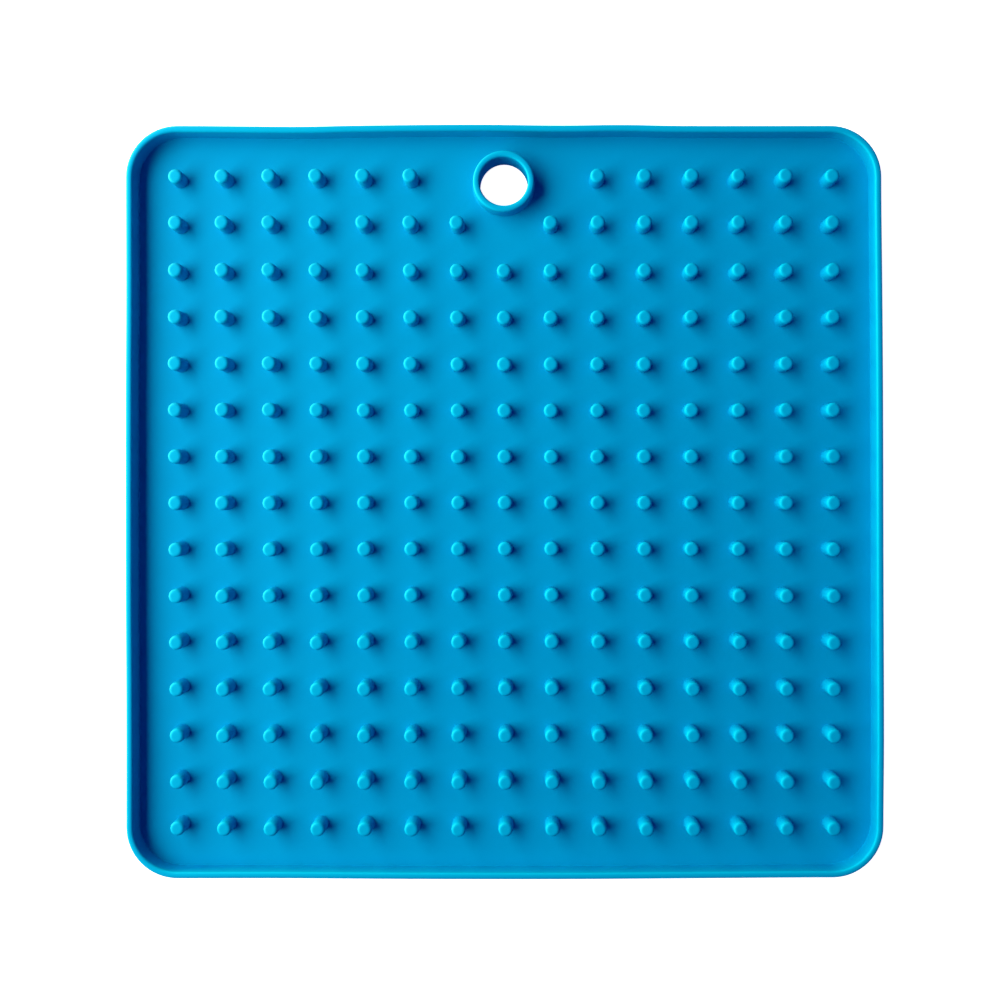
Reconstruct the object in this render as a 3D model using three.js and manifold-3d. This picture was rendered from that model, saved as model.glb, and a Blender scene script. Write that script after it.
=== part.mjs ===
// A lick mat moulded in one piece of silicone rubber: a shallow square tray with a rim,
// a grid of short pegs that hold soft food, and a raised eye near the back edge to hang it by.
// Millimetres, +Z up. The origin is the middle of the underside, and +Y points to the eye.
import * as THREE from 'three';
import { mergeVertices } from 'three/addons/utils/BufferGeometryUtils.js';
import Module from 'manifold-3d';

// Tray
const matWidth = 200;
const matLength = 199;
const matHeight = 8;
const floorThickness = 2.6;
const rimWidth = 1.7;
const rimRounding = 0.45;
const cornerRadius = 13.5;

// Pegs
const pegColumns = 15;
const pegRows = 15;
const pegPitch = { x: 12.38, y: 12.27 };
const pegGridCentre = { x: -0.05, y: -0.31 };
const backRows = 2;
const backGap = 0.32;
const pegBaseRadius = 2;
const pegTipRadius = 1.9;

// Hanging eye, and the round space about it that has no pegs
const eyeCentre = { x: -0.34, y: 84.55 };
const eyeOuterRadius = 8.1;
const eyeHoleRadius = 6.4;
const eyeRounding = 0.35;
const pegFreeRadius = 14.5;

// The soft rim isn't quite straight. The sides follow each other anticlockwise, seen from above.
// "at" runs along the side from its middle, and "inward" is how far the edge lies inside the full size.
// The first and last rows of a side are where its corners begin.
const sides = [
  {
    name: 'right',
    outward: new THREE.Vector2(1, 0),
    wander: [
      { at: -87, inward: 0.16 },
      { at: -63, inward: 0 },
      { at: -26, inward: 0.11 },
      { at: 27, inward: 0.25 },
      { at: 54, inward: 0.43 },
      { at: 87, inward: 0.72 },
    ],
  },
  {
    name: 'back',
    outward: new THREE.Vector2(0, 1),
    wander: [
      { at: -87, inward: 0.32 },
      { at: -46, inward: 0.32 },
      { at: -31, inward: 0.06 },
      { at: -15, inward: 0.22 },
      { at: 9, inward: 0 },
      { at: 40, inward: 0.28 },
      { at: 54, inward: 0.56 },
      { at: 87, inward: 0.34 },
    ],
  },
  {
    name: 'left',
    outward: new THREE.Vector2(-1, 0),
    wander: [
      { at: -87, inward: 0.07 },
      { at: -54, inward: 0.12 },
      { at: -27, inward: 0 },
      { at: 26, inward: 0.02 },
      { at: 52, inward: 0.17 },
      { at: 87, inward: 0.19 },
    ],
  },
  {
    name: 'front',
    outward: new THREE.Vector2(0, -1),
    wander: [
      { at: -87, inward: 0.22 },
      { at: -58, inward: 0.24 },
      { at: -22, inward: 0.03 },
      { at: 15, inward: 0 },
      { at: 46, inward: 0.2 },
      { at: 87, inward: 0.45 },
    ],
  },
];

// Fineness of the facets
const cornerSteps = 6;
const roundingSteps = 2;
const pegSides = 8;
const eyeSides = 32;

// How far a joined piece is sunk into its neighbour, and how far a cutter runs past a face
const sink = 1;

const wasm = await Module();
wasm.setup();

// Turns a closed three.js geometry into a solid that can be joined and cut.
function solidFrom(geometry) {
  geometry.deleteAttribute('normal');
  geometry.deleteAttribute('uv');
  const merged = mergeVertices(geometry);
  const vertProperties = new Float32Array(merged.attributes.position.array);
  const triVerts = new Uint32Array(merged.index.array);
  return new wasm.Manifold(new wasm.Mesh({ numProp: 3, vertProperties, triVerts }));
}

// Turns a finished solid back into a three.js geometry.
function geometryFrom(solid) {
  const { vertProperties, triVerts } = solid.getMesh();
  const geometry = new THREE.BufferGeometry();
  geometry.setAttribute('position', new THREE.BufferAttribute(vertProperties, 3));
  geometry.setIndex(new THREE.BufferAttribute(triVerts, 1));
  return geometry;
}

// Half of the mat's full size in the direction of a unit vector along X or Y.
function halfSize(direction) {
  return Math.abs(direction.x) * matWidth / 2 + Math.abs(direction.y) * matLength / 2;
}

// The mat's outline, moved inwards by "inset", as points in anticlockwise order.
function outlinePoints(inset) {
  const points = [];
  sides.forEach((side, index) => {
    const next = sides[(index + 1) % sides.length];
    const pointAt = (out, along) => new THREE.Vector2()
      .addScaledVector(side.outward, out)
      .addScaledVector(next.outward, along);
    const edge = halfSize(side.outward);
    for (const row of side.wander.slice(1, -1)) {
      points.push(pointAt(edge - row.inward - inset, row.at));
    }
    const cornerOut = edge - side.wander.at(-1).inward - cornerRadius;
    const cornerAlong = halfSize(next.outward) - next.wander[0].inward - cornerRadius;
    for (let step = 0; step <= cornerSteps; step += 1) {
      const turn = (step / cornerSteps) * Math.PI / 2;
      const reach = cornerRadius - inset;
      points.push(pointAt(cornerOut + reach * Math.cos(turn), cornerAlong + reach * Math.sin(turn)));
    }
  });
  return points;
}

// A solid turned about an upright axis at "centre", from [radius, height] pairs.
function turned(profile, segments, centre) {
  const points = profile.map(([radius, height]) => new THREE.Vector2(radius, height));
  const geometry = new THREE.LatheGeometry(points, segments);
  geometry.rotateX(Math.PI / 2);
  geometry.translate(centre.x, centre.y, 0);
  return solidFrom(geometry);
}

function floorSlab() {
  const outline = new THREE.Shape(outlinePoints(rimWidth / 2));
  return solidFrom(new THREE.ExtrudeGeometry(outline, { depth: floorThickness, bevelEnabled: false }));
}

// The rim is a band round the tray, as tall as the mat, with its four long edges rounded.
function rim() {
  const band = new THREE.Shape(outlinePoints(0));
  band.holes.push(new THREE.Path(outlinePoints(rimWidth)));
  const geometry = new THREE.ExtrudeGeometry(band, {
    depth: matHeight - 2 * rimRounding,
    bevelSize: rimRounding,
    bevelOffset: -rimRounding,
    bevelThickness: rimRounding,
    bevelSegments: roundingSteps,
  });
  geometry.translate(0, 0, rimRounding);
  return solidFrom(geometry);
}

// The middles of the pegs, without those that the hanging eye takes the place of.
// The back rows, beside the eye, stand a little further from the others.
function pegPlaces() {
  const places = [];
  for (let row = 0; row < pegRows; row += 1) {
    const gap = row < pegRows - backRows ? 0 : backGap;
    const y = pegGridCentre.y + (row - (pegRows - 1) / 2) * pegPitch.y + gap;
    for (let column = 0; column < pegColumns; column += 1) {
      const x = pegGridCentre.x + (column - (pegColumns - 1) / 2) * pegPitch.x;
      if (Math.hypot(x - eyeCentre.x, y - eyeCentre.y) > pegFreeRadius) {
        places.push({ x, y });
      }
    }
  }
  return places;
}

function peg(place) {
  const profile = [
    [0, floorThickness - sink],
    [pegBaseRadius, floorThickness - sink],
    [pegBaseRadius, floorThickness],
    [pegTipRadius, matHeight],
    [0, matHeight],
  ];
  return turned(profile, pegSides, place);
}

function eyeCollar() {
  const profile = [
    [0, floorThickness - sink],
    [eyeOuterRadius, floorThickness - sink],
    [eyeOuterRadius, matHeight - eyeRounding],
    [eyeOuterRadius - eyeRounding, matHeight],
    [0, matHeight],
  ];
  return turned(profile, eyeSides, eyeCentre);
}

// The hole is straight, with its top edge eased.
function eyeHole() {
  const profile = [
    [0, -sink],
    [eyeHoleRadius, -sink],
    [eyeHoleRadius, matHeight - eyeRounding],
    [eyeHoleRadius + eyeRounding + sink, matHeight + sink],
    [0, matHeight + sink],
  ];
  return turned(profile, eyeSides, eyeCentre);
}

function wholeMat() {
  let solid = floorSlab().add(rim());
  for (const place of pegPlaces()) {
    solid = solid.add(peg(place));
  }
  return solid.add(eyeCollar()).subtract(eyeHole());
}

const silicone = new THREE.MeshStandardMaterial({
  color: 0x0098cf,
  roughness: 0.5,
  metalness: 0,
  flatShading: true,
});

const mat = new THREE.Mesh(geometryFrom(wholeMat()), silicone);
mat.name = 'mat';

const lickMat = new THREE.Group();
lickMat.add(mat);

export default lickMat;
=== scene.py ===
from math import ceil, cos, pi, sin

import bmesh
import bpy
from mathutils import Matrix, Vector
from mathutils.geometry import delaunay_2d_cdt


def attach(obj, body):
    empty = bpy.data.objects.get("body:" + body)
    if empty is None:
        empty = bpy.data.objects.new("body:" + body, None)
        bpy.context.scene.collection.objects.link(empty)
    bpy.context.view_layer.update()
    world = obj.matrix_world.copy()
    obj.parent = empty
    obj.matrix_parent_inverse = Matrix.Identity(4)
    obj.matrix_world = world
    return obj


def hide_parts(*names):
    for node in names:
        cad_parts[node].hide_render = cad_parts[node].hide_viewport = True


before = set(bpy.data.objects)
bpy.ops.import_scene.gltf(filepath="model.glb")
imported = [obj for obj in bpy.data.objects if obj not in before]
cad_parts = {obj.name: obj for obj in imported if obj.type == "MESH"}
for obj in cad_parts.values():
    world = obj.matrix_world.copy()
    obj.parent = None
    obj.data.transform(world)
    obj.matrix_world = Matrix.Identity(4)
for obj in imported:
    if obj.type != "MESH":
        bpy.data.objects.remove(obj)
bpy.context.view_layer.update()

# Sizes are in millimetres, and meshes are written in metres.
MM = 0.001

# Tray
MAT_WIDTH = 200
MAT_LENGTH = 199
MAT_HEIGHT = 8
FLOOR = 2.6
RIM_WIDTH = 1.7
CORNER_RADIUS = 13.5
WALL_DRAFT = 0.02
FOOT_FILLET = 0.12
RIM_INNER_ROUNDING = 0.5
RIM_OUTER_ROUNDING = 0.5
BOTTOM_ROUNDING = 0.3
CROWN = 0.03

# How far each side of the soft rim lies inside the full size, from corner to corner:
# (place along the side, inward). The sides run anticlockwise from the right one.
SIDES = (
    ((-87, 0.16), (-63, 0), (-26, 0.11), (27, 0.25), (54, 0.43), (87, 0.72)),
    ((-87, 0.32), (-46, 0.32), (-31, 0.06), (-15, 0.22), (9, 0), (40, 0.28), (54, 0.56), (87, 0.34)),
    ((-87, 0.07), (-54, 0.12), (-27, 0), (26, 0.02), (52, 0.17), (87, 0.19)),
    ((-87, 0.22), (-58, 0.24), (-22, 0.03), (15, 0), (46, 0.2), (87, 0.45)),
)

# Fineness of the outline, in millimetres along a side and in steps round a corner, and steps
# round the small roundings of a profile
SIDE_STEP = 4
CORNER_STEPS = 16
ROUNDING_STEPS = 4
BOTTOM_STEPS = 3
EYE_EDGE_STEPS = 2

# Pegs. The levels are the rows of points from a peg's foot to the middle of its tip.
PEG_COLUMNS = 15
PEG_ROWS = 15
PEG_PITCH = (12.38, 12.27)
PEG_GRID_CENTRE = (-0.05, -0.31)
PEG_BASE_RADIUS = 2.0
PEG_TIP_RADIUS = 1.93
PEG_ROUNDING = 0.55
PEG_SIDES = 12
PEG_LEVELS = 6
WELD_DISTANCE = 0.01

# The soft mat lies a little askew: its columns slant to the left towards the back edge, and the
# back rows beside the eye stand a little further from the others.
PEG_SLANT = 0.0034
BACK_ROWS = 2
BACK_GAP = 0.32

# The pegs lean a little towards a place near the middle of the mat, most at half this reach,
# and a little away from it beyond the reach.
LEAN_CENTRE = (8.1, 4.4)
LEAN_REACH = 61.2
LEAN_MOST = 0.25
LEAN_STRAY = 0.06
LEAN_SEED = 7

# Hanging eye, and the round space about it that has no pegs
EYE_CENTRE = (-0.34, 84.55)
EYE_RADIUS = 8.1
EYE_HOLE_RADIUS = 6.4
EYE_ROUNDING = 0.5
EYE_FILLET = 0.3
EYE_EDGE = 0.15
EYE_SIDES = 64
PEG_FREE_RADIUS = 14.5

# How close two points count as one in the flat faces
TOUCHING = 1e-6

# White studio cove round the mat, how far its floor lies below the mat, and the radius of the
# floor's middle, which lies under the mat
COVE_RADIUS = 3000
COVE_BEND = 800
COVE_HEIGHT = 2500
COVE_STEPS = 8
COVE_SIDES = 48
STAGE_DROP = 0.2
STAGE_MIDDLE = 93

# A narrow flat strip beside each rounding keeps its smooth shading off the wide faces.
STRIP = 0.4

# Edges that bend by more than this, in radians, are left sharp: the feet of the pegs.
CREASE_ANGLE = 1.0


def interpolated(rows, at):
    """The value of a table at one place, on a smooth curve through its rows."""
    slopes = [0.0]
    for before, after in zip(rows, rows[2:]):
        slopes.append((after[1] - before[1]) / (after[0] - before[0]))
    slopes.append(0.0)
    index = 0
    while index < len(rows) - 2 and at > rows[index + 1][0]:
        index += 1
    (start, low), (end, high) = rows[index], rows[index + 1]
    span = end - start
    t = (at - start) / span
    rise = t * t * (3 - 2 * t)
    leave = t * (1 - t) * (1 - t) * span * slopes[index]
    arrive = t * t * (t - 1) * span * slopes[index + 1]
    return low + (high - low) * rise + leave + arrive


def outline(inset):
    """The mat's outline, moved inwards, as points in anticlockwise order."""
    points = []
    half = (MAT_WIDTH / 2, MAT_LENGTH / 2)
    for index, rows in enumerate(SIDES):
        out = Vector((round(cos(index * pi / 2)), round(sin(index * pi / 2))))
        along = Vector((-out.y, out.x))
        edge = half[index % 2]
        side = half[(index + 1) % 2]
        start = SIDES[index - 1][-1][1] + CORNER_RADIUS - side
        end = side - SIDES[(index + 1) % len(SIDES)][0][1] - CORNER_RADIUS
        table = [(start, rows[0][1]), *rows[1:-1], (end, rows[-1][1])]
        steps = ceil((MAT_WIDTH - 2 * CORNER_RADIUS) / SIDE_STEP)
        for step in range(1, steps):
            at = start + (end - start) * step / steps
            points.append(out * (edge - interpolated(table, at) - inset) + along * at)
        centre = out * (edge - rows[-1][1] - CORNER_RADIUS) + along * end
        reach = CORNER_RADIUS - inset
        for step in range(CORNER_STEPS + 1):
            turn = step / CORNER_STEPS * pi / 2
            points.append(centre + (out * cos(turn) + along * sin(turn)) * reach)
    return points


def circle(centre, radius, sides):
    """Points on a circle, in anticlockwise order."""
    turns = [2 * pi * side / sides for side in range(sides)]
    return [Vector(centre) + Vector((cos(turn), sin(turn))) * radius for turn in turns]


def rounded(start, corner, end, steps):
    """Points on a quarter round from start to end, which bends at the corner of their tangents."""
    start, corner, end = Vector(start), Vector(corner), Vector(end)
    points = []
    for step in range(steps + 1):
        turn = step / steps * pi / 2
        points.append(corner + (start - corner) * (1 - sin(turn)) + (end - corner) * (1 - cos(turn)))
    return points


def rim_profile():
    """(inset, height) pairs up the tray's wall, over the rim, down its outside and in below it."""
    top = MAT_HEIGHT - CROWN
    wall_top = top - RIM_INNER_ROUNDING
    wall = RIM_WIDTH + WALL_DRAFT
    foot = wall + FOOT_FILLET
    wall_foot = FLOOR + FOOT_FILLET
    inner = RIM_WIDTH - RIM_INNER_ROUNDING
    profile = [(foot + STRIP, FLOOR)]
    profile += rounded((foot, FLOOR), (wall, FLOOR), (wall, wall_foot), ROUNDING_STEPS)
    profile += [(wall, wall_foot + STRIP), (RIM_WIDTH, wall_top - STRIP)]
    profile += rounded((RIM_WIDTH, wall_top), (RIM_WIDTH, top), (inner, top), ROUNDING_STEPS)
    profile += [((inner + RIM_OUTER_ROUNDING) / 2, MAT_HEIGHT)]
    side_top = top - RIM_OUTER_ROUNDING
    profile += rounded((RIM_OUTER_ROUNDING, top), (0, top), (0, side_top), ROUNDING_STEPS)
    profile += [(0, side_top - STRIP), (0, BOTTOM_ROUNDING + STRIP)]
    profile += rounded((0, BOTTOM_ROUNDING), (0, 0), (BOTTOM_ROUNDING, 0), BOTTOM_STEPS)
    return profile + [(BOTTOM_ROUNDING + STRIP, 0)]


def eye_profile():
    """(radius, height) pairs up the outside of the hanging eye, over its top and down its hole."""
    top = MAT_HEIGHT - CROWN
    wall_top = top - EYE_ROUNDING
    outer = EYE_RADIUS - EYE_ROUNDING
    inner = EYE_HOLE_RADIUS + EYE_ROUNDING
    hole = EYE_HOLE_RADIUS
    side = EYE_RADIUS
    foot = EYE_RADIUS + EYE_FILLET
    side_foot = FLOOR + EYE_FILLET
    profile = [(foot + STRIP, FLOOR)]
    profile += rounded((foot, FLOOR), (side, FLOOR), (side, side_foot), ROUNDING_STEPS)
    profile += [(side, side_foot + STRIP), (side, wall_top - STRIP)]
    profile += rounded((side, wall_top), (side, top), (outer, top), ROUNDING_STEPS)
    profile += [((inner + outer) / 2, MAT_HEIGHT)]
    profile += rounded((inner, top), (hole, top), (hole, wall_top), ROUNDING_STEPS)
    profile += [(hole, wall_top - STRIP), (hole, EYE_EDGE + STRIP)]
    profile += rounded((hole, EYE_EDGE), (hole, 0), (hole + EYE_EDGE, 0), EYE_EDGE_STEPS)
    return profile + [(hole + EYE_EDGE + STRIP, 0)]


def skin(bm, profile, points_at):
    """A strip of faces through one loop of points for each pair of a profile."""
    loops = []
    for offset, height in profile:
        points = points_at(offset)
        loops.append([bm.verts.new((p.x * MM, p.y * MM, height * MM)) for p in points])
    for lower, upper in zip(loops, loops[1:]):
        for index, corner in enumerate(lower):
            bm.faces.new((corner, upper[index], upper[index - 1], lower[index - 1]))
    return loops


def fill(bm, loops, spare_points, height):
    """A flat face inside the first loop, with a hole for each other loop."""
    corners = [corner for loop in loops for corner in loop]
    shapes = []
    first = 0
    for loop in loops:
        shapes.append(range(first, first + len(loop)))
        first += len(loop)
    flat = [corner.co.xy / MM for corner in corners] + spare_points
    corners += [bm.verts.new((p.x * MM, p.y * MM, height * MM)) for p in spare_points]
    inside = 1
    with_sources = True
    found = delaunay_2d_cdt(flat, [], shapes, inside, TOUCHING, with_sources)
    triangles, sources, shapes_around = found[2], found[3], found[5]
    for triangle, around in zip(triangles, shapes_around):
        # A triangle that lies within a second loop as well belongs to a hole.
        if len(around) == 1:
            bm.faces.new([corners[sources[index][0]] for index in triangle])


def back_row_start():
    """How far behind the middle of the grid the gap before the back rows is."""
    return (PEG_ROWS / 2 - BACK_ROWS) * PEG_PITCH[1]


def peg_places():
    """The middles of the pegs, without those that the hanging eye takes the place of."""
    places = []
    for row in range(PEG_ROWS):
        for column in range(PEG_COLUMNS):
            x = (column - (PEG_COLUMNS - 1) / 2) * PEG_PITCH[0]
            y = (row - (PEG_ROWS - 1) / 2) * PEG_PITCH[1]
            shift = Vector((-PEG_SLANT * y, BACK_GAP if y > back_row_start() else 0))
            place = Vector((x, y)) + shift + Vector(PEG_GRID_CENTRE)
            if (place - Vector(EYE_CENTRE)).length > PEG_FREE_RADIUS:
                places.append(place)
    return places


def lane_crossings():
    """The places midway between four pegs, where the floor's triangles get a corner."""
    crossings = []
    for row in range(PEG_ROWS + 1):
        for column in range(PEG_COLUMNS + 1):
            x = PEG_GRID_CENTRE[0] + (column - PEG_COLUMNS / 2) * PEG_PITCH[0]
            y = PEG_GRID_CENTRE[1] + (row - PEG_ROWS / 2) * PEG_PITCH[1]
            crossing = Vector((x, y))
            if (crossing - Vector(EYE_CENTRE)).length > EYE_RADIUS + 2 * EYE_FILLET + STRIP:
                crossings.append(crossing)
    return crossings


def tray(material):
    """The mat without its pegs: each peg still has a round hole in the floor, as wide as its foot."""
    bm = bmesh.new()
    rim_loops = skin(bm, rim_profile(), outline)
    eye_loops = skin(bm, eye_profile(), lambda radius: circle(EYE_CENTRE, radius, EYE_SIDES))
    foot = PEG_BASE_RADIUS
    peg_loops = []
    for place in peg_places():
        rings = skin(
            bm,
            ((foot + STRIP, FLOOR), (foot, FLOOR)),
            lambda radius: circle(place, radius, PEG_SIDES),
        )
        peg_loops.append(rings[0])
    fill(bm, [rim_loops[0], eye_loops[0], *peg_loops], lane_crossings(), FLOOR)
    fill(bm, [rim_loops[-1], eye_loops[-1]], [], 0)
    bmesh.ops.recalc_face_normals(bm, faces=bm.faces)
    mesh = bpy.data.meshes.new("tray")
    bm.to_mesh(mesh)
    bm.free()
    mesh.materials.append(material)
    piece = bpy.data.objects.new("lick_mat", mesh)
    bpy.context.scene.collection.objects.link(piece)
    return piece


class Signal:
    """An output socket. Arithmetic on it adds Math nodes to its tree."""

    def __init__(self, tree, socket):
        self.tree = tree
        self.socket = socket

    def __add__(self, other):
        return self.tree.maths("ADD", self, other)

    def __sub__(self, other):
        return self.tree.maths("SUBTRACT", self, other)

    def __rsub__(self, other):
        return self.tree.maths("SUBTRACT", other, self)

    def __mul__(self, other):
        return self.tree.maths("MULTIPLY", self, other)

    def __truediv__(self, other):
        return self.tree.maths("DIVIDE", self, other)

    def __gt__(self, other):
        return self.tree.maths("GREATER_THAN", self, other)

    def __lt__(self, other):
        return self.tree.maths("LESS_THAN", self, other)

    __radd__ = __add__
    __rmul__ = __mul__


class Tree:
    """A node tree that is written as calls and arithmetic."""

    def __init__(self, group):
        self.group = group
        group.nodes.clear()

    def node(self, kind, settings, inputs, output=0):
        """Adds a node, puts its settings first and then its values and links."""
        made = self.group.nodes.new(kind)
        for name, value in settings.items():
            if name == "capture_items":
                made.capture_items.new(*value)
            else:
                setattr(made, name, value)
        for name, value in inputs.items():
            if isinstance(value, Signal):
                self.group.links.new(value.socket, made.inputs[name])
            else:
                made.inputs[name].default_value = value
        if made.outputs:
            return Signal(self, made.outputs[output])

    def maths(self, operation, first, second=0.0, clamp=False):
        settings = {"operation": operation, "use_clamp": clamp}
        return self.node("ShaderNodeMath", settings, {0: first, 1: second})

    def vectors(self, operation, first, second):
        return self.node("ShaderNodeVectorMath", {"operation": operation}, {0: first, 1: second})

    def scaled(self, vector, scale):
        inputs = {"Vector": vector, "Scale": scale}
        return self.node("ShaderNodeVectorMath", {"operation": "SCALE"}, inputs)

    def length(self, vector):
        return self.node("ShaderNodeVectorMath", {"operation": "LENGTH"}, {0: vector}, "Value")

    def clamped(self, value):
        return self.maths("ADD", value, 0.0, clamp=True)

    def vector(self, x, y, z):
        return self.node("ShaderNodeCombineXYZ", {}, {"X": x, "Y": y, "Z": z})

    def parts(self, vector):
        separate = self.node("ShaderNodeSeparateXYZ", {}, {"Vector": vector}).socket.node
        return [Signal(self, socket) for socket in separate.outputs]

    def noise(self, place, scale, detail, roughness=0.5):
        inputs = {"Vector": place, "Scale": scale, "Detail": detail, "Roughness": roughness}
        return self.node("ShaderNodeTexNoise", {}, inputs, "Fac")

    def ramp(self, value, low, high):
        """0 below low and 1 above high, with soft ends."""
        inputs = {"Value": value, "From Min": low, "From Max": high}
        return self.node("ShaderNodeMapRange", {"interpolation_type": "SMOOTHSTEP"}, inputs)

    def blend(self, factor, first, second):
        """Goes from the first colour to the second."""
        inputs = {0: factor, 6: first, 7: second}
        return self.node("ShaderNodeMix", {"data_type": "RGBA"}, inputs, 2)


PEG_INPUTS = (
    ("Columns", "NodeSocketInt", PEG_COLUMNS),
    ("Rows", "NodeSocketInt", PEG_ROWS),
    ("Pitch X", "NodeSocketFloat", PEG_PITCH[0] * MM),
    ("Pitch Y", "NodeSocketFloat", PEG_PITCH[1] * MM),
    ("Grid centre", "NodeSocketVector", (PEG_GRID_CENTRE[0] * MM, PEG_GRID_CENTRE[1] * MM, 0)),
    ("Slant", "NodeSocketFloat", PEG_SLANT),
    ("Back row start", "NodeSocketFloat", back_row_start() * MM),
    ("Back gap", "NodeSocketFloat", BACK_GAP * MM),
    ("Eye centre", "NodeSocketVector", (EYE_CENTRE[0] * MM, EYE_CENTRE[1] * MM, 0)),
    ("Peg free radius", "NodeSocketFloat", PEG_FREE_RADIUS * MM),
    ("Floor height", "NodeSocketFloat", FLOOR * MM),
    ("Peg height", "NodeSocketFloat", (MAT_HEIGHT - FLOOR) * MM),
    ("Base radius", "NodeSocketFloat", PEG_BASE_RADIUS * MM),
    ("Tip radius", "NodeSocketFloat", PEG_TIP_RADIUS * MM),
    ("Tip rounding", "NodeSocketFloat", PEG_ROUNDING * MM),
    ("Tip crown", "NodeSocketFloat", CROWN * MM),
    ("Tip strip", "NodeSocketFloat", STRIP * MM),
    ("Sides", "NodeSocketInt", PEG_SIDES),
    ("Lean centre", "NodeSocketVector", (LEAN_CENTRE[0] * MM, LEAN_CENTRE[1] * MM, 0)),
    ("Lean reach", "NodeSocketFloat", LEAN_REACH * MM),
    ("Lean most", "NodeSocketFloat", LEAN_MOST * MM),
    ("Lean stray", "NodeSocketFloat", LEAN_STRAY * MM),
    ("Weld distance", "NodeSocketFloat", WELD_DISTANCE * MM),
    ("Crease angle", "NodeSocketFloat", CREASE_ANGLE),
    ("Seed", "NodeSocketInt", LEAN_SEED),
)


def one_peg(tree, size):
    """A peg on the origin: a flat grid whose columns go round it and whose rows go up it."""
    grid = tree.node(
        "GeometryNodeMeshGrid",
        {},
        {
            "Size X": 2 * pi,
            "Size Y": PEG_LEVELS - 1,
            "Vertices X": size["Sides"] + 1,
            "Vertices Y": PEG_LEVELS,
        },
    )
    turn, middle_level = tree.parts(tree.node("GeometryNodeInputPosition", {}, {}))[:2]
    level = middle_level + (PEG_LEVELS - 1) / 2
    # Level 0 to 1 is the wall, 1 to 3 the rounding of the tip, 3 to 4 the edge of its flat top
    # and 4 to 5 the rest of it.
    up = tree.clamped(level)
    turned = tree.clamped((level - 1) / 2) * (pi / 2)
    edge = tree.clamped(level - 3)
    closing = tree.clamped(level - 4)
    rounding, crown = size["Tip rounding"], size["Tip crown"]
    tip_radius = (
        size["Tip radius"] - rounding * (1 - tree.maths("COSINE", turned)) - size["Tip strip"] * edge
    )
    tip_height = (
        size["Peg height"] - crown * (1 - closing) - rounding * (1 - tree.maths("SINE", turned))
    )
    radius = (size["Base radius"] * (1 - up) + tip_radius * up) * (1 - closing)
    height = tip_height * up
    place = tree.vector(
        radius * tree.maths("COSINE", turn),
        radius * tree.maths("SINE", turn),
        height + size["Floor height"],
    )
    rolled = tree.node("GeometryNodeSetPosition", {}, {"Geometry": grid, "Position": place})
    return tree.node(
        "GeometryNodeMergeByDistance", {}, {"Geometry": rolled, "Distance": size["Weld distance"]}
    )


def peg_lattice(tree, size):
    """The points that carry a peg, each with its lean as a captured vector."""
    grid = tree.node(
        "GeometryNodeMeshGrid",
        {},
        {
            "Size X": size["Pitch X"] * (size["Columns"] - 1),
            "Size Y": size["Pitch Y"] * (size["Rows"] - 1),
            "Vertices X": size["Columns"],
            "Vertices Y": size["Rows"],
        },
    )
    place = tree.node("GeometryNodeInputPosition", {}, {})
    back = tree.parts(place)[1]
    gap = (back > size["Back row start"]) * size["Back gap"]
    shift = tree.vectors("ADD", size["Grid centre"], tree.vector(-1 * back * size["Slant"], gap, 0))
    moved = tree.node("GeometryNodeSetPosition", {}, {"Geometry": grid, "Offset": shift})
    from_eye = tree.length(tree.vectors("SUBTRACT", place, size["Eye centre"]))
    kept = tree.node(
        "GeometryNodeDeleteGeometry",
        {"domain": "POINT"},
        {"Geometry": moved, "Selection": from_eye < size["Peg free radius"]},
    )
    from_middle = tree.vectors("SUBTRACT", place, size["Lean centre"])
    share = tree.length(from_middle) / size["Lean reach"]
    amount = size["Lean most"] * tree.maths("SINE", share * pi)
    outward = tree.node("ShaderNodeVectorMath", {"operation": "NORMALIZE"}, {0: from_middle})
    inward = tree.scaled(outward, -1 * amount)
    stray = tree.node(
        "FunctionNodeRandomValue",
        {"data_type": "FLOAT_VECTOR"},
        {"Min": (-1, -1, 0), "Max": (1, 1, 0), "Seed": size["Seed"]},
    )
    lean = tree.vectors("ADD", inward, tree.scaled(stray, size["Lean stray"]))
    captured = tree.node(
        "GeometryNodeCaptureAttribute",
        {"domain": "POINT", "capture_items": ("VECTOR", "Lean")},
        {"Geometry": kept, "Lean": lean},
    )
    return captured, Signal(tree, captured.socket.node.outputs["Lean"])


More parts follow.
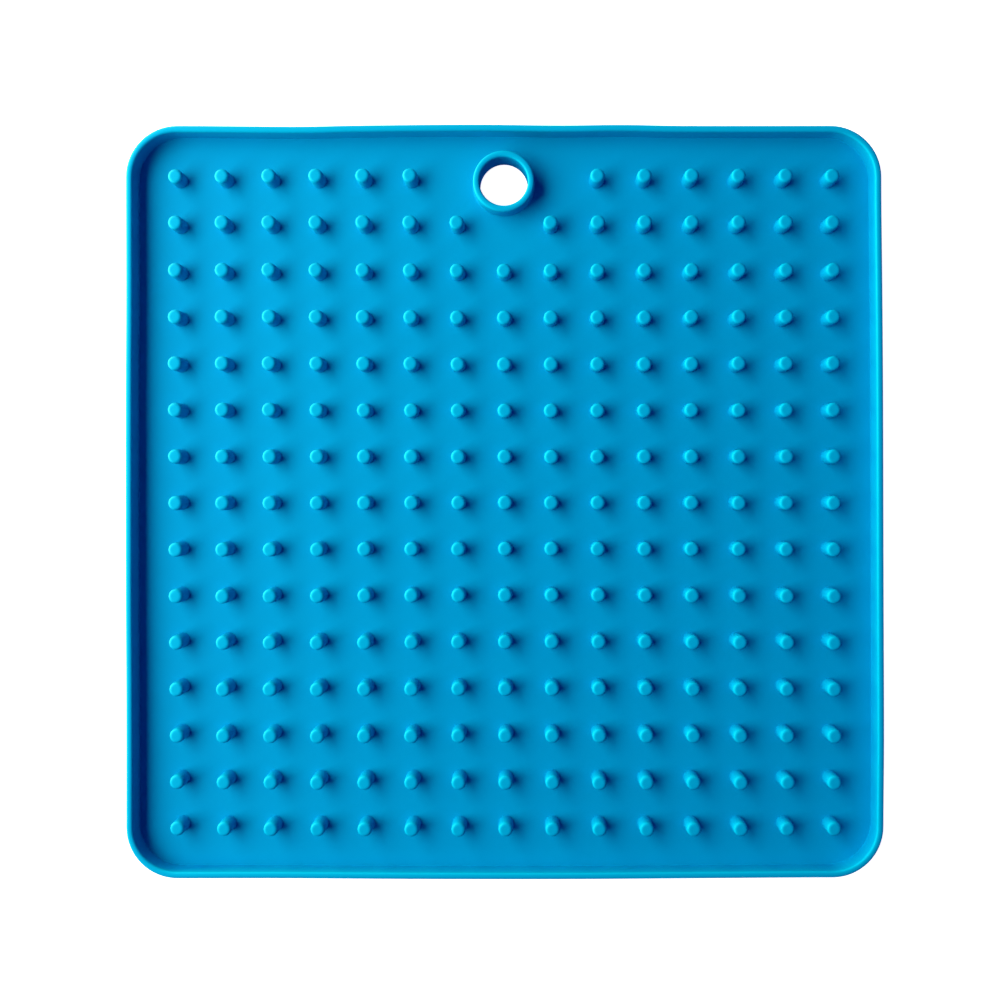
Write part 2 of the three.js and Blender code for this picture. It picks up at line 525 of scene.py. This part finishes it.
def pegs_modifier(piece, material):
    """Sets a peg on every place of the lattice, and welds it to the hole in the floor."""
    group = bpy.data.node_groups.new("pegs", "GeometryNodeTree")
    tree = Tree(group)
    group.interface.new_socket("Geometry", in_out="INPUT", socket_type="NodeSocketGeometry")
    group.interface.new_socket("Geometry", in_out="OUTPUT", socket_type="NodeSocketGeometry")
    values = {}
    for name, kind, value in PEG_INPUTS:
        socket = group.interface.new_socket(name, in_out="INPUT", socket_type=kind)
        values[socket.identifier] = value
    modifier = piece.modifiers.new("pegs", "NODES")
    modifier.node_group = group
    for identifier, value in values.items():
        modifier[identifier] = value
    entry = tree.node("NodeGroupInput", {}, {}).socket.node
    size = {socket.name: Signal(tree, socket) for socket in entry.outputs}

    points, lean = peg_lattice(tree, size)
    instances = tree.node(
        "GeometryNodeInstanceOnPoints", {}, {"Points": points, "Instance": one_peg(tree, size)}
    )
    joined = tree.node("GeometryNodeJoinGeometry", {}, {"Geometry": instances})
    group.links.new(size["Geometry"].socket, joined.socket.node.inputs["Geometry"])
    realized = tree.node("GeometryNodeRealizeInstances", {}, {"Geometry": joined})
    height = tree.parts(tree.node("GeometryNodeInputPosition", {}, {}))[2]
    risen = (height - size["Floor height"]) / size["Peg height"]
    bent = tree.node(
        "GeometryNodeSetPosition", {}, {"Geometry": realized, "Offset": tree.scaled(lean, risen * risen)}
    )
    welded = tree.node(
        "GeometryNodeMergeByDistance", {}, {"Geometry": bent, "Distance": size["Weld distance"]}
    )
    smooth = tree.node("GeometryNodeSetShadeSmooth", {}, {"Geometry": welded})
    steep = tree.node("GeometryNodeInputMeshEdgeAngle", {}, {}) > size["Crease angle"]
    creased = tree.node(
        "GeometryNodeSetShadeSmooth",
        {"domain": "EDGE"},
        {"Geometry": smooth, "Selection": steep, "Shade Smooth": False},
    )
    finished = tree.node("GeometryNodeSetMaterial", {}, {"Geometry": creased, "Material": material})
    tree.node("NodeGroupOutput", {}, {"Geometry": finished})


def plain_mesh(piece):
    """Turns what a piece's modifiers make into its own mesh, closed and facing outwards."""
    graph = bpy.context.evaluated_depsgraph_get()
    mesh = bpy.data.meshes.new_from_object(piece.evaluated_get(graph), depsgraph=graph)
    piece.modifiers.clear()
    piece.data = mesh
    bm = bmesh.new()
    bm.from_mesh(mesh)
    bmesh.ops.recalc_face_normals(bm, faces=bm.faces)
    bm.to_mesh(mesh)
    bm.free()


# Colours of the silicone, how much of the last two is mixed in, and the heights between which
# the tops of the rim, the eye and the pegs turn lighter, a painted highlight for the light they catch
# above the shaded floor
BODY_DEEP = (0, 0.345, 0.62, 1)
BODY_PALE = (0, 0.375, 0.66, 1)
FLECK = (0, 0.33, 0.60, 1)
TOP_PAINTED_LIGHT = (0.0, 0.48, 0.75, 1)
FLECK_SHARE = 0.3
PAINTED_LIGHT_SHARE = 0.5
TOP_START = 7.2
TOP_END = 7.9

# Scales of its noises, from the broadest to the finest
CLOUD_SCALE = 40
FLECK_SCALE = 420
GRAIN_SCALE = 2600

# Its roughness, what the noises add to it and what the worn tops take from it
ROUGHNESS = 0.42
CLOUD_ROUGHNESS = 0.1
GRAIN_ROUGHNESS = 0.1
TOP_SMOOTHNESS = 0.06

# Its relief: the shares of the two finer noises, how deep it is and how strongly it shows
GRAIN_RELIEF = 0.6
FLECK_RELIEF = 0.4
RELIEF_DEPTH = 0.03
RELIEF_STRENGTH = 0.35


def silicone():
    """Matt silicone rubber, coloured through, with the fine texture of a blasted mould."""
    material = bpy.data.materials.new("silicone")
    material.use_nodes = True
    tree = Tree(material.node_tree)
    place = tree.node("ShaderNodeTexCoord", {}, {}, "Object")
    height = tree.parts(place)[2]

    clouds = tree.noise(place, CLOUD_SCALE, detail=3)
    flecks = tree.noise(place, FLECK_SCALE, detail=3, roughness=0.6)
    grain = tree.noise(place, GRAIN_SCALE, detail=2, roughness=0.6)
    # Mask of the tops, used for their painted highlight and for their smoother finish
    lit_and_smooth_tops = tree.ramp(height, TOP_START * MM, TOP_END * MM)

    body = tree.blend(clouds, BODY_DEEP, BODY_PALE)
    speckled = tree.blend(flecks * FLECK_SHARE, body, FLECK)
    # Painted highlight: the tops are mixed towards a lighter colour, standing in for the light they
    # catch
    colour = tree.blend(lit_and_smooth_tops * PAINTED_LIGHT_SHARE, speckled, TOP_PAINTED_LIGHT)

    uneven = CLOUD_ROUGHNESS * clouds + GRAIN_ROUGHNESS * grain
    roughness = ROUGHNESS + uneven - TOP_SMOOTHNESS * lit_and_smooth_tops
    relief = grain * GRAIN_RELIEF + flecks * FLECK_RELIEF
    normal = tree.node(
        "ShaderNodeBump",
        {},
        {"Strength": RELIEF_STRENGTH, "Distance": RELIEF_DEPTH * MM, "Height": relief},
    )
    shader = tree.node(
        "ShaderNodeBsdfPrincipled",
        {},
        {
            "Base Color": colour,
            "Roughness": roughness,
            "Normal": normal,
            "IOR": 1.41,
            "Specular IOR Level": 0.25,
            "Specular Tint": (0.02, 0.75, 1, 1),
        },
    )
    tree.node("ShaderNodeOutputMaterial", {}, {"Surface": shader})
    return material


def plain_white():
    """A white that glows enough to lose the mat's shadows."""
    material = bpy.data.materials.new("plain_white")
    material.use_nodes = True
    tree = Tree(material.node_tree)
    shader = tree.node(
        "ShaderNodeBsdfPrincipled",
        {},
        {
            "Base Color": (0.8, 0.8, 0.8, 1),
            "Roughness": 0.8,
            "Emission Color": (1, 1, 1, 1),
            "Emission Strength": 1.0,
        },
    )
    tree.node("ShaderNodeOutputMaterial", {}, {"Surface": shader})
    material.cycles.emission_sampling = "NONE"
    return material


def stage_piece(name, bm, material, bounces):
    """A part of the stage. Unless it "bounces", it is only seen and throws no light on the mat."""
    bmesh.ops.translate(bm, verts=bm.verts, vec=(0, 0, -STAGE_DROP * MM))
    mesh = bpy.data.meshes.new(name)
    bm.to_mesh(mesh)
    bm.free()
    mesh.materials.append(material)
    piece = bpy.data.objects.new(name, mesh)
    bpy.context.scene.collection.objects.link(piece)
    piece.visible_diffuse = bounces
    piece.visible_glossy = False
    piece.visible_shadow = False
    return piece


def white_cove():
    """A round white floor that curves up into a wall. The floor throws light on the mat's outer
    sides. Its middle doesn't, or it would shine up through the hanging hole."""
    def ring(radius):
        return circle((0, 0), radius, COVE_SIDES)

    white = plain_white()
    bend_start = COVE_RADIUS - COVE_BEND

    floor = bmesh.new()
    skin(floor, ((bend_start, 0), (STAGE_MIDDLE, 0)), ring)

    rest = bmesh.new()
    rest.faces.new(skin(rest, [(STAGE_MIDDLE, 0)], ring)[0])
    bend = rounded((bend_start, 0), (COVE_RADIUS, 0), (COVE_RADIUS, COVE_BEND), COVE_STEPS)
    skin(rest, [(COVE_RADIUS, COVE_HEIGHT), *reversed(bend)], ring)
    return (
        stage_piece("floor", floor, white, bounces=True),
        stage_piece("cove", rest, white, bounces=False),
    )


# Camera, in metres: straight above the mat, a little to the right of its middle, with the
# picture shifted back over the mat. The picture's width is measured level with the rim's top.
SENSOR = 36
CAMERA_FOOT = (0.006, 0.0075)
CAMERA_RISE = 0.288
PICTURE_WIDTH = 0.2633
PICTURE_CENTRE = (-0.00127, 0.0005)


def camera():
    """The camera of the photo."""
    lens = bpy.data.cameras.new("camera")
    lens.sensor_width = SENSOR
    lens.lens = SENSOR * CAMERA_RISE / PICTURE_WIDTH
    lens.shift_x = (PICTURE_CENTRE[0] - CAMERA_FOOT[0]) / PICTURE_WIDTH
    lens.shift_y = (PICTURE_CENTRE[1] - CAMERA_FOOT[1]) / PICTURE_WIDTH
    lens.clip_start = 0.01
    holder = bpy.data.objects.new("camera", lens)
    holder.location = (*CAMERA_FOOT, CAMERA_RISE + MAT_HEIGHT * MM)
    bpy.context.scene.collection.objects.link(holder)
    bpy.context.scene.camera = holder


def softbox(name, place, target, size, power, colour):
    """A rectangular light that faces a target."""
    lamp = bpy.data.lights.new(name, "AREA")
    lamp.shape = "RECTANGLE"
    lamp.size, lamp.size_y = size
    lamp.energy = power
    lamp.color = colour
    holder = bpy.data.objects.new(name, lamp)
    holder.location = place
    holder.rotation_euler = (Vector(target) - Vector(place)).to_track_quat("-Z", "Y").to_euler()
    bpy.context.scene.collection.objects.link(holder)


def surroundings(colour, strength):
    """The dim light that comes from all round."""
    world = bpy.data.worlds.new("studio")
    world.use_nodes = True
    tree = Tree(world.node_tree)
    background = tree.node("ShaderNodeBackground", {}, {"Color": colour, "Strength": strength})
    tree.node("ShaderNodeOutputWorld", {}, {"Surface": background})
    bpy.context.scene.world = world


camera()
softbox(
    "window",
    place=(-0.35, 0.19, 0.38),
    target=(0, 0.19, 0.38),
    size=(0.80, 0.64),
    power=7.7,
    colour=(1, 1, 0.95),
)
softbox(
    "sill",
    place=(-0.35, 0.25, 0.03),
    target=(0, 0.25, 0.03),
    size=(0.6, 0.06),
    power=3.0,
    colour=(1, 1, 0.32),
)
surroundings(colour=(0.05, 0.1, 1, 1), strength=0.145)
bpy.context.scene.view_settings.view_transform = "Standard"
for stage_part in white_cove():
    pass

rubber = silicone()
mat = tray(rubber)
pegs_modifier(mat, rubber)
plain_mesh(mat)
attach(mat, "root")
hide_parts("mat")
